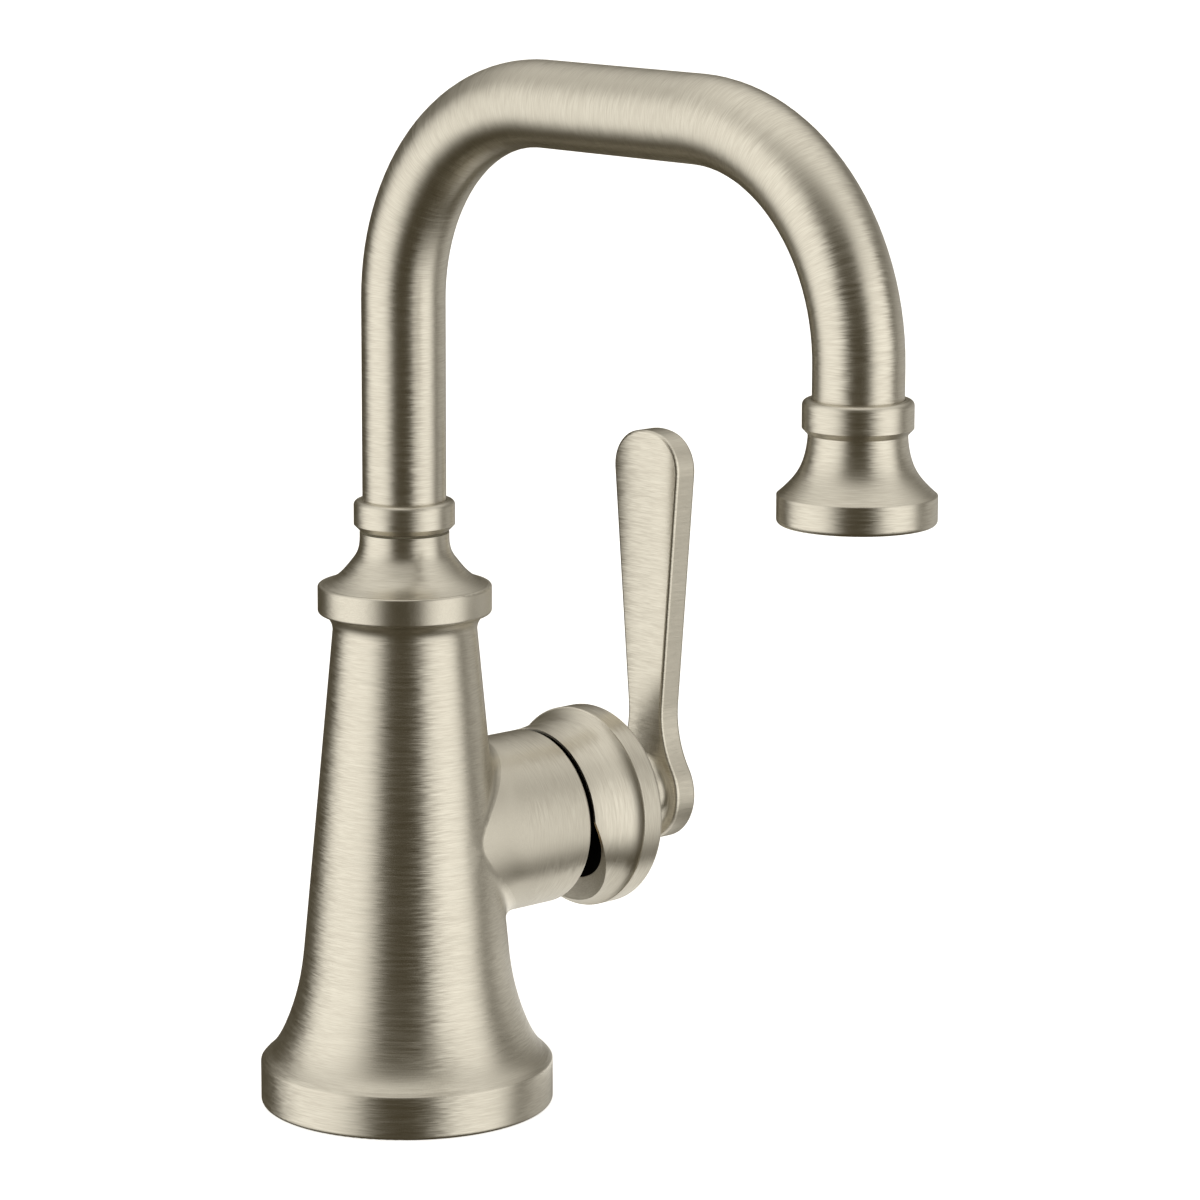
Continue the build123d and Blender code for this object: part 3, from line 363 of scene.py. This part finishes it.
def brushed_nickel(name, lay_lines, bore_shade=None, crown=None):
    """Brushed nickel plate whose lines lie as told, with painted shade in its bore or a crown if it
    has one.
    """
    finish, tree, shader = new_finish(name, 1.0)
    way, grain, count = lay_lines(tree)
    place = {"Vector": grain, "W": count}
    lines = add_node(
        tree, "ShaderNodeTexNoise", {"noise_dimensions": "4D"},
        {"Scale": 1.0, "Detail": LINE_DETAIL}, place,
    ).outputs["Fac"]
    strokes = add_node(
        tree, "ShaderNodeTexNoise", {"noise_dimensions": "4D"},
        {"Scale": STROKE_SCALE, "Detail": STROKE_DETAIL}, place,
    ).outputs["Fac"]

    # Both patterns run about a half, so half their lean is taken off to leave the surface level.
    middle = (LINE_TILT + STROKE_TILT) / 2
    tilt = add_node(
        tree, "ShaderNodeMath", {"operation": "MULTIPLY_ADD"}, {1: LINE_TILT, 2: -middle},
        {0: lines},
    ).outputs[0]
    tilt = add_node(
        tree, "ShaderNodeMath", {"operation": "MULTIPLY_ADD"}, {1: STROKE_TILT},
        {0: strokes, 2: tilt},
    ).outputs[0]
    if crown:
        tilt = add_node(
            tree, "ShaderNodeMath", {"operation": "ADD"}, links={0: tilt, 1: crown(tree)}
        ).outputs[0]
    way = add_node(
        tree, "ShaderNodeVectorTransform",
        {"vector_type": "VECTOR", "convert_from": "OBJECT", "convert_to": "WORLD"}, links={0: way},
    ).outputs[0]
    along = add_node(
        tree, "ShaderNodeVectorMath", {"operation": "NORMALIZE"}, links={0: way}
    ).outputs[0]
    lean = add_node(
        tree, "ShaderNodeVectorMath", {"operation": "SCALE"}, links={0: along, "Scale": tilt}
    ).outputs[0]
    facing = add_node(tree, "ShaderNodeNewGeometry").outputs["Normal"]
    facing = add_node(
        tree, "ShaderNodeVectorMath", {"operation": "ADD"}, links={0: facing, 1: lean}
    ).outputs[0]
    facing = add_node(
        tree, "ShaderNodeVectorMath", {"operation": "NORMALIZE"}, links={0: facing}
    ).outputs[0]
    scratched = add_node(
        tree, "ShaderNodeBump", inputs={"Strength": 1.0, "Distance": LINE_DEPTH},
        links={"Height": lines, "Normal": facing},
    )

    one, other, out = MIX_SOCKETS["RGBA"]
    colour = add_node(
        tree, "ShaderNodeMix", {"data_type": "RGBA"},
        {one: linear(NICKEL_DARK), other: linear(NICKEL_LIGHT)},
        {0: soft_edge(tree, lines, *NICKEL_CONTRAST)},
    ).outputs[out]
    roughness = add_node(
        tree, "ShaderNodeMapRange",
        inputs={
            "From Min": STROKE_RANGE[0], "From Max": STROKE_RANGE[1],
            "To Min": NICKEL_ROUGHNESS - NICKEL_ROUGHNESS_SPREAD,
            "To Max": NICKEL_ROUGHNESS + NICKEL_ROUGHNESS_SPREAD,
        },
        links={"Value": strokes},
    ).outputs[0]
    # Painted shade: inside the bore the colour turns near black and the surface dull.
    if bore_shade:
        shaded_inside = bore_shade(tree)
        colour = add_node(
            tree, "ShaderNodeMix", {"data_type": "RGBA"}, {other: linear(BORE_PAINTED_SHADE)},
            {0: shaded_inside, one: colour},
        ).outputs[out]
        one, other, out = MIX_SOCKETS["FLOAT"]
        roughness = add_node(
            tree, "ShaderNodeMix", {"data_type": "FLOAT"}, {other: BORE_ROUGHNESS},
            {0: shaded_inside, one: roughness},
        ).outputs[out]
    shader.inputs["Anisotropic"].default_value = NICKEL_ANISOTROPY
    shader.inputs["Anisotropic Rotation"].default_value = QUARTER_TURN
    tree.links.new(colour, shader.inputs["Base Color"])
    tree.links.new(roughness, shader.inputs["Roughness"])
    tree.links.new(scratched.outputs[0], shader.inputs["Normal"])
    tree.links.new(along, shader.inputs["Tangent"])
    return finish


def bell_lines(tree):
    """Lines round the upright bell, and round the stub where the surface stands off the bell."""
    place = add_node(tree, "ShaderNodeTexCoord").outputs["Object"]
    height = add_node(tree, "ShaderNodeSeparateXYZ", links={0: place}).outputs["Z"]
    arm = add_node(
        tree, "ShaderNodeVectorMath", {"operation": "MULTIPLY"}, {1: (1, 1, 0)}, {0: place}
    ).outputs[0]
    radius = add_node(
        tree, "ShaderNodeVectorMath", {"operation": "LENGTH"}, links={0: arm}
    ).outputs["Value"]
    outside = add_node(
        tree, "ShaderNodeMath", {"operation": "MULTIPLY_ADD"}, {1: BELL_TAPER},
        {0: height, 2: radius},
    ).outputs[0]
    outside = add_node(
        tree, "ShaderNodeMath", {"operation": "SUBTRACT"}, {1: BELL_RADIUS_AT_DECK}, {0: outside}
    ).outputs[0]
    off_bell = soft_edge(tree, outside, *STUB_BLEND)
    share = both(tree, off_bell, soft_edge(tree, height, *STUB_LOW))
    round_stub = round_lines(tree, VALVE_AXIS, VALVE_CENTRE)
    return either(tree, share, round_lines(tree, UPRIGHT), round_stub)


# The stub's bore is darkened with painted shade.
dress(brushed_nickel("brushed nickel on the bell body", bell_lines, stub_bore_shade), "body_shell")

# Neck collar and spout ring: turned brass pieces screwed on above the bell's flange, brushed
# and plated like the bell. Their lines run round the upright axis.
dress(
    brushed_nickel("brushed nickel round the neck", lambda tree: round_lines(tree, UPRIGHT)),
    "neck_collar", "spout_ring",
)

# Spout tube: drawn brass tube bent on a mandrel in two bends, then brushed round by a belt that
# follows the bends, and plated. The lines cross the tube at right angles all along it.
TUBE_RADIUS = 0.009525
BEND_RADIUS = 0.0471
BEND_HEIGHT = 0.1866
BEND_PLACES = (-0.09466, -0.0471)
# Both bends lie in the upright plane through the spout, and turn about this.
BEND_AXIS = Vector((1, 0, 0))


def tube_lines(tree):
    """Lines round the bent tube, counted by the distance along its centre line."""
    texture = add_node(tree, "ShaderNodeTexCoord")
    place = add_node(tree, "ShaderNodeSeparateXYZ", links={0: texture.outputs["Object"]})
    nearest = add_node(
        tree, "ShaderNodeClamp", inputs={"Min": BEND_PLACES[0], "Max": BEND_PLACES[1]},
        links={"Value": place.outputs["Y"]},
    ).outputs[0]
    ahead = add_node(
        tree, "ShaderNodeMath", {"operation": "SUBTRACT"}, links={0: place.outputs["Y"], 1: nearest}
    ).outputs[0]
    rise = add_node(
        tree, "ShaderNodeMath", {"operation": "SUBTRACT"}, {1: BEND_HEIGHT},
        {0: place.outputs["Z"]},
    ).outputs[0]
    over = add_node(
        tree, "ShaderNodeMath", {"operation": "MAXIMUM"}, {1: 0.0}, {0: rise}
    ).outputs[0]
    under = add_node(
        tree, "ShaderNodeMath", {"operation": "MINIMUM"}, {1: 0.0}, {0: rise}
    ).outputs[0]
    arm = add_node(tree, "ShaderNodeCombineXYZ", links={"Y": ahead, "Z": over}).outputs[0]
    run = add_node(
        tree, "ShaderNodeVectorMath", {"operation": "CROSS_PRODUCT"}, {0: BEND_AXIS}, {1: arm}
    ).outputs[0]
    way = add_node(
        tree, "ShaderNodeVectorMath", {"operation": "CROSS_PRODUCT"},
        links={0: run, 1: texture.outputs["Normal"]},
    ).outputs[0]

    # The distance round the bends and along the top, and then down the two straight legs.
    turn = add_node(
        tree, "ShaderNodeMath", {"operation": "ARCTAN2"}, links={0: over, 1: ahead}
    ).outputs[0]
    bent = add_node(
        tree, "ShaderNodeMath", {"operation": "MULTIPLY"}, {1: BEND_RADIUS}, {0: turn}
    ).outputs[0]
    side = add_node(tree, "ShaderNodeMath", {"operation": "SIGN"}, links={0: ahead}).outputs[0]
    straight = add_node(
        tree, "ShaderNodeMath", {"operation": "MULTIPLY"}, links={0: under, 1: side}
    ).outputs[0]
    length = add_node(
        tree, "ShaderNodeMath", {"operation": "SUBTRACT"}, links={0: bent, 1: nearest}
    ).outputs[0]
    length = add_node(
        tree, "ShaderNodeMath", {"operation": "ADD"}, links={0: length, 1: straight}
    ).outputs[0]
    count = add_node(
        tree, "ShaderNodeMath", {"operation": "DIVIDE"}, {1: LINE_WIDTH}, {0: length}
    ).outputs[0]
    grain = add_node(
        tree, "ShaderNodeVectorMath", {"operation": "SCALE"}, {"Scale": TUBE_RADIUS / LINE_LENGTH},
        {0: texture.outputs["Normal"]},
    ).outputs[0]
    return way, grain, count


dress(brushed_nickel("brushed nickel across the tube", tube_lines), "spout_tube")

# Outlet bell: turned brass sleeve soldered on the end of the tube, with the aerator screwed in
# from below. It is brushed round its own upright axis.
OUTLET_CENTRE = Vector((0, -0.14176, 0))
dress(
    brushed_nickel(
        "brushed nickel round the outlet", lambda tree: round_lines(tree, UPRIGHT, OUTLET_CENTRE)
    ),
    "outlet_bell",
)

# Handle cap: turned brass cap that flares away from the stub and hides the cartridge. It turns
# with the lever, and its lines run round the valve's axis.
CAP_MOUTH_X = 0.0405
CAP_BACK_X = 0.056
CAP_BORE_RADIUS = 0.0203
# The mouth is cut aslant below a height, and its rim keeps the plated colour before the painted
# shade inside the bore begins.
CUT_HEIGHT = 0.0626
CUT_SLOPE = math.tan(math.radians(24))
CUT_RIM = 0.00015


def cap_bore_shade(tree):
    """Where painted shade darkens the inside of the cap, behind its slanting mouth."""
    along, off, height = off_valve_axis(tree)
    drop = add_node(
        tree, "ShaderNodeMath", {"operation": "SUBTRACT"}, {0: CUT_HEIGHT}, {1: height}
    ).outputs[0]
    drop = add_node(
        tree, "ShaderNodeMath", {"operation": "MAXIMUM"}, {1: 0.0}, {0: drop}
    ).outputs[0]
    mouth = add_node(
        tree, "ShaderNodeMath", {"operation": "MULTIPLY_ADD"}, {1: CUT_SLOPE, 2: CAP_MOUTH_X},
        {0: drop},
    ).outputs[0]
    behind = add_node(
        tree, "ShaderNodeMath", {"operation": "SUBTRACT"}, links={0: along, 1: mouth}
    ).outputs[0]
    within = add_node(
        tree, "ShaderNodeMath", {"operation": "LESS_THAN"}, {1: CAP_BORE_RADIUS}, {0: off}
    ).outputs[0]
    ahead = add_node(
        tree, "ShaderNodeMath", {"operation": "LESS_THAN"}, {1: CAP_BACK_X}, {0: along}
    ).outputs[0]
    return both(tree, both(tree, above(tree, behind, CUT_RIM), within), ahead)


# The inside of the cap is darkened with painted shade.
dress(
    brushed_nickel(
        "brushed nickel round the handle", lambda tree: round_lines(tree, VALVE_AXIS, VALVE_CENTRE),
        cap_bore_shade,
    ),
    "handle_cap",
)

# Lever: forged brass plate with a round hub, brushed level across its faces and edges, and round
# the hub, then plated.
PLATE_FACE = (0.0752, 0.0755)
# The polishing belt rounds the plate's faces towards their sides. Their lean grows with the
# square of the way from the middle, to some 0.4 where the plate is broadest.
CROWN_LEAN = 3400.0


def lever_lines(tree):
    """Level lines across the plate, and lines round the hub behind it."""
    texture = add_node(tree, "ShaderNodeTexCoord")
    back = add_node(
        tree, "ShaderNodeSeparateXYZ", links={0: texture.outputs["Object"]}
    ).outputs["X"]
    share = soft_edge(tree, back, *PLATE_FACE)
    way = add_node(
        tree, "ShaderNodeVectorMath", {"operation": "CROSS_PRODUCT"}, {0: UPRIGHT},
        {1: texture.outputs["Normal"]},
    ).outputs[0]
    grain = add_node(
        tree, "ShaderNodeVectorMath", {"operation": "MULTIPLY"},
        {1: (1 / LINE_LENGTH, 1 / LINE_LENGTH, 1 / LINE_WIDTH)}, {0: texture.outputs["Object"]},
    ).outputs[0]
    hub = round_lines(tree, VALVE_AXIS, VALVE_CENTRE)
    return either(tree, share, hub, (way, grain, back))


def lever_crown(tree):
    """Lean of the plate's faces, which grows with the square of the way from their middle."""
    texture = add_node(tree, "ShaderNodeTexCoord")
    place = add_node(tree, "ShaderNodeSeparateXYZ", links={0: texture.outputs["Object"]})
    facing = add_node(tree, "ShaderNodeSeparateXYZ", links={0: texture.outputs["Normal"]})
    aside = place.outputs["Y"]
    size = add_node(
        tree, "ShaderNodeMath", {"operation": "ABSOLUTE"}, links={0: aside}
    ).outputs[0]
    # A square that keeps its side.
    square = add_node(
        tree, "ShaderNodeMath", {"operation": "MULTIPLY"}, links={0: aside, 1: size}
    ).outputs[0]
    lean = add_node(
        tree, "ShaderNodeMath", {"operation": "MULTIPLY"}, {1: CROWN_LEAN}, {0: square}
    ).outputs[0]
    return add_node(
        tree, "ShaderNodeMath", {"operation": "MULTIPLY"}, links={0: lean, 1: facing.outputs["X"]}
    ).outputs[0]


dress(brushed_nickel("brushed nickel across the lever", lever_lines, crown=lever_crown), "lever")

# Brass inside: the waterway, its inlet nuts, the cartridge's nut and the spout's nipple, machined
# from free-cutting brass and left bare. A fine turning mark follows the tool at each turn.
BRASS_TONES = ("#B8924F", "#E0C182")
BRASS_ROUGHNESS = (0.22, 0.36)
TURNING_PITCH = 0.0004
TURNING_DETAIL = 1.0
TURNING_RELIEF = 1.0
TURNING_DEPTH = 0.000008
INLET_ASIDE = 0.009


def mark_surface(tree, shader, marks, tones, roughness, relief, depth):
    """Two tones, two roughnesses and a relief, all by one pattern of marks."""
    one, other, out = MIX_SOCKETS["RGBA"]
    tone = add_node(
        tree, "ShaderNodeMix", {"data_type": "RGBA"},
        {one: linear(tones[0]), other: linear(tones[1])}, {0: marks},
    )
    dullness = add_node(
        tree, "ShaderNodeMapRange", inputs={"To Min": roughness[0], "To Max": roughness[1]},
        links={"Value": marks},
    )
    bump = add_node(
        tree, "ShaderNodeBump", inputs={"Strength": relief, "Distance": depth},
        links={"Height": marks},
    )
    tree.links.new(tone.outputs[out], shader.inputs["Base Color"])
    tree.links.new(dullness.outputs[0], shader.inputs["Roughness"])
    tree.links.new(bump.outputs[0], shader.inputs["Normal"])


def turned_metal(name, tones, roughness, axis, centre):
    """Bare turned metal: fine tool marks round its axis and a little tarnish between them."""
    finish, tree, shader = new_finish(name, 1.0)
    _, grain, count = round_lines(tree, axis, centre)
    marks = add_node(
        tree, "ShaderNodeTexNoise", {"noise_dimensions": "4D"},
        {"Scale": LINE_WIDTH / TURNING_PITCH, "Detail": TURNING_DETAIL},
        {"Vector": grain, "W": count},
    ).outputs["Fac"]
    mark_surface(tree, shader, marks, tones, roughness, TURNING_RELIEF, TURNING_DEPTH)
    return finish


def brass(name, axis, centre=(0, 0, 0)):
    """Machined brass: warm yellow, with its tool marks round an axis."""
    return turned_metal(name, BRASS_TONES, BRASS_ROUGHNESS, axis, centre)


dress(brass("machined brass, upright", UPRIGHT), "waterway", "spout_nipple")
dress(brass("machined brass, hot inlet", UPRIGHT, (0, -INLET_ASIDE, 0)), "hot_inlet_nut")
dress(brass("machined brass, cold inlet", UPRIGHT, (0, INLET_ASIDE, 0)), "cold_inlet_nut")
dress(brass("machined brass, valve nut", VALVE_AXIS, VALVE_CENTRE), "retaining_nut")

# Steel: the plate and screws in the foot, the spout's spring clip, and the cartridge's stem, pin
# and grub screw, all stainless, turned or rolled. It is bare, grey, and finely marked by the tool.
STEEL_TONES = ("#A9A8A5", "#CFCECB")
STEEL_ROUGHNESS = (0.24, 0.4)


def steel(name, axis, centre=(0, 0, 0)):
    """Stainless steel, with its tool marks round an axis."""
    return turned_metal(name, STEEL_TONES, STEEL_ROUGHNESS, axis, centre)


dress(steel("stainless steel, upright", UPRIGHT), "base_plate", "base_screws", "spout_clip")
dress(
    steel("stainless steel, valve axis", VALVE_AXIS, VALVE_CENTRE),
    "stem", "pivot_pin", "set_screw",
)

# Rubber: the gasket under the foot, the cartridge's port seals, the spout's O-rings and the
# aerator's washer, moulded in nitrile rubber. It is matt and near black, with a faint dusty bloom.
RUBBER_TONES = ("#161617", "#29292A")
RUBBER_ROUGHNESS = (0.62, 0.85)
RUBBER_GRAIN = 0.0006
RUBBER_DEPTH = 0.00002
RUBBER_IOR = 1.52
MOULD_DETAIL = 3.0
MOULD_RELIEF = 0.6


def moulded(name, ior, tones, roughness, grain, depth):
    """Moulded rubber, plastic or ceramic: a mottle and a relief with a grain of one size."""
    finish, tree, shader = new_finish(name, 0.0, ior)
    place = add_node(tree, "ShaderNodeTexCoord").outputs["Object"]
    mottle = add_node(
        tree, "ShaderNodeTexNoise", inputs={"Scale": 1 / grain, "Detail": MOULD_DETAIL},
        links={"Vector": place},
    ).outputs["Fac"]
    mark_surface(tree, shader, mottle, tones, roughness, MOULD_RELIEF, depth)
    return finish


dress(
    moulded(
        "moulded nitrile rubber", RUBBER_IOR, RUBBER_TONES, RUBBER_ROUGHNESS, RUBBER_GRAIN,
        RUBBER_DEPTH,
    ),
    "deck_gasket", "port_seals", "spout_o_rings", "aerator_washer",
)

# Glide ring: a thin washer of bronze-filled PTFE between the collar and the spout's ring, which the
# spout turns on. It is dull and waxy. Its brown is partly the filled PTFE's own colour and partly
# painted shade, dark enough to stand for the shade in the fine groove it sits in.
PTFE_IOR = 1.4
PTFE_TONES_WITH_GROOVE_SHADE = ("#4E4939", "#655F4D")
PTFE_ROUGHNESS = (0.5, 0.62)
PTFE_GRAIN = 0.0006
PTFE_DEPTH = 0.00001
dress(
    moulded(
        "moulded bronze-filled PTFE", PTFE_IOR, PTFE_TONES_WITH_GROOVE_SHADE, PTFE_ROUGHNESS, PTFE_GRAIN, PTFE_DEPTH,
    ),
    "glide_ring",
)

# Acetal: the black guide of the stem, and the white cartridge foot, disc carrier and aerator.
# It is injection moulded, waxy and slightly uneven in its gloss.
ACETAL_IOR = 1.48
ACETAL_BLACK = ("#101010", "#1B1B1A")
ACETAL_WHITE = ("#DEDCD4", "#EEECE6")
ACETAL_ROUGHNESS = (0.32, 0.46)
ACETAL_GRAIN = 0.0012
ACETAL_DEPTH = 0.000015
dress(
    moulded(
        "moulded black acetal", ACETAL_IOR, ACETAL_BLACK, ACETAL_ROUGHNESS, ACETAL_GRAIN,
        ACETAL_DEPTH,
    ),
    "stem_guide",
)
dress(
    moulded(
        "moulded white acetal", ACETAL_IOR, ACETAL_WHITE, ACETAL_ROUGHNESS, ACETAL_GRAIN,
        ACETAL_DEPTH,
    ),
    "cartridge_base", "disc_carrier", "aerator_housing", "aerator_core",
)

# Cartridge barrel and aerator grid: glass-filled grey polyamide, moulded, a little mottled where
# the fibres lie near the surface. The limit ring is the same plastic in red.
POLYAMIDE_IOR = 1.53
POLYAMIDE_GREY = ("#6B6D6F", "#858789")
POLYAMIDE_RED = ("#8E1B17", "#B02B22")
POLYAMIDE_ROUGHNESS = (0.42, 0.6)
POLYAMIDE_GRAIN = 0.0005
POLYAMIDE_DEPTH = 0.00002
dress(
    moulded(
        "moulded grey polyamide", POLYAMIDE_IOR, POLYAMIDE_GREY, POLYAMIDE_ROUGHNESS,
        POLYAMIDE_GRAIN, POLYAMIDE_DEPTH,
    ),
    "cartridge_housing", "aerator_screen",
)
dress(
    moulded(
        "moulded red polyamide", POLYAMIDE_IOR, POLYAMIDE_RED, POLYAMIDE_ROUGHNESS,
        POLYAMIDE_GRAIN, POLYAMIDE_DEPTH,
    ),
    "limit_ring",
)

# Valve discs: sintered alumina, lapped flat and polished so that they seal by touch. They are
# off-white, glossy, and faintly cloudy.
ALUMINA_IOR = 1.77
ALUMINA_TONES = ("#E6E2D9", "#F3F0EA")
ALUMINA_ROUGHNESS = (0.1, 0.18)
ALUMINA_GRAIN = 0.0008
ALUMINA_DEPTH = 0.000002
dress(
    moulded(
        "lapped alumina", ALUMINA_IOR, ALUMINA_TONES, ALUMINA_ROUGHNESS, ALUMINA_GRAIN,
        ALUMINA_DEPTH,
    ),
    "fixed_disc", "moving_disc",
)
